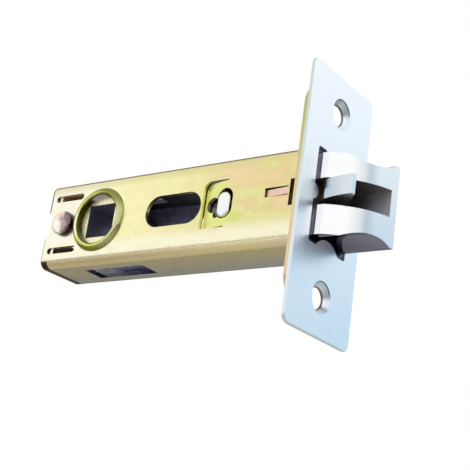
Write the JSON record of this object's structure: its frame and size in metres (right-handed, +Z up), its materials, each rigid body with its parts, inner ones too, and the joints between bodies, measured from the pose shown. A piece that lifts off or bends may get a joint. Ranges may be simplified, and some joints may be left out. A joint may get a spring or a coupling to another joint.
{
  "type": "tubular door latch",
  "caption": "Tubular door latch: folded steel case with a square spindle follower, satin faceplate and a sprung bevelled bolt with a hinged anti-friction tongue.",
  "frame": {"origin": "centre of the faceplate's outer face, midway between the two screws", "axes": "+X out of the door edge along the bolt's travel, +Z up along the faceplate, -Y towards the side the bevel faces"},
  "size_m": [0.089, 0.0244, 0.058],
  "materials": {
    "face_steel": "satin, brushed lengthwise",
    "forend_zinc": "yellow zinc passivate",
    "case_zinc": "iridescent yellow zinc passivate",
    "rivet_zinc": "yellow zinc passivate",
    "inner_steel": "bright zinc",
    "seat_bright": "bright die-cast zinc",
    "spring_steel": "drawn wire",
    "bolt_nickel": "bright nickel plate",
    "follower_zinc": "yellow zinc passivate"
  },
  "bodies": {
    "case": {"faceplate": "face_steel", "forend_plate": "forend_zinc", "case_shell": "case_zinc", "rear_rivet": "rivet_zinc", "rear_spacer": "inner_steel", "spring_seat": "seat_bright", "bolt_spring": "spring_steel"},
    "bolt": {"bolt_head": "bolt_nickel", "drawbar_upper": "inner_steel", "drawbar_lower": "inner_steel", "drawbar_rivet_upper": "inner_steel", "drawbar_rivet_lower": "inner_steel", "tongue_pin": "inner_steel"},
    "tongue": {"anti_friction_tongue": "bolt_nickel"},
    "follower": {"follower": "follower_zinc"}
  },
  "joints": [
    {"name": "bolt_slide", "type": "slide", "parent": "case", "child": "bolt", "axis": [1, 0, 0], "range_m": [-0.011, 0], "stiffness_N_per_m": 600, "springref_m": 0.005, "deforming": ["bolt_spring"]},
    {"name": "follower_turn", "type": "hinge", "parent": "case", "child": "follower", "pos_m": [-0.06, 0, 0], "axis": [0, 1, 0], "range_deg": [-75, 0]},
    {"name": "tongue_turn", "type": "hinge", "parent": "bolt", "child": "tongue", "pos_m": [-0.003, -0.0018, 0], "axis": [0, 0, 1], "range_deg": [0, 35]}
  ],
  "couplings": [
    {"joint": "follower_turn", "follows": "bolt_slide", "rad_per_m": 118.99},
    {"joint": "tongue_turn", "follows": "bolt_slide", "rad_per_m": -55.53}
  ]
}
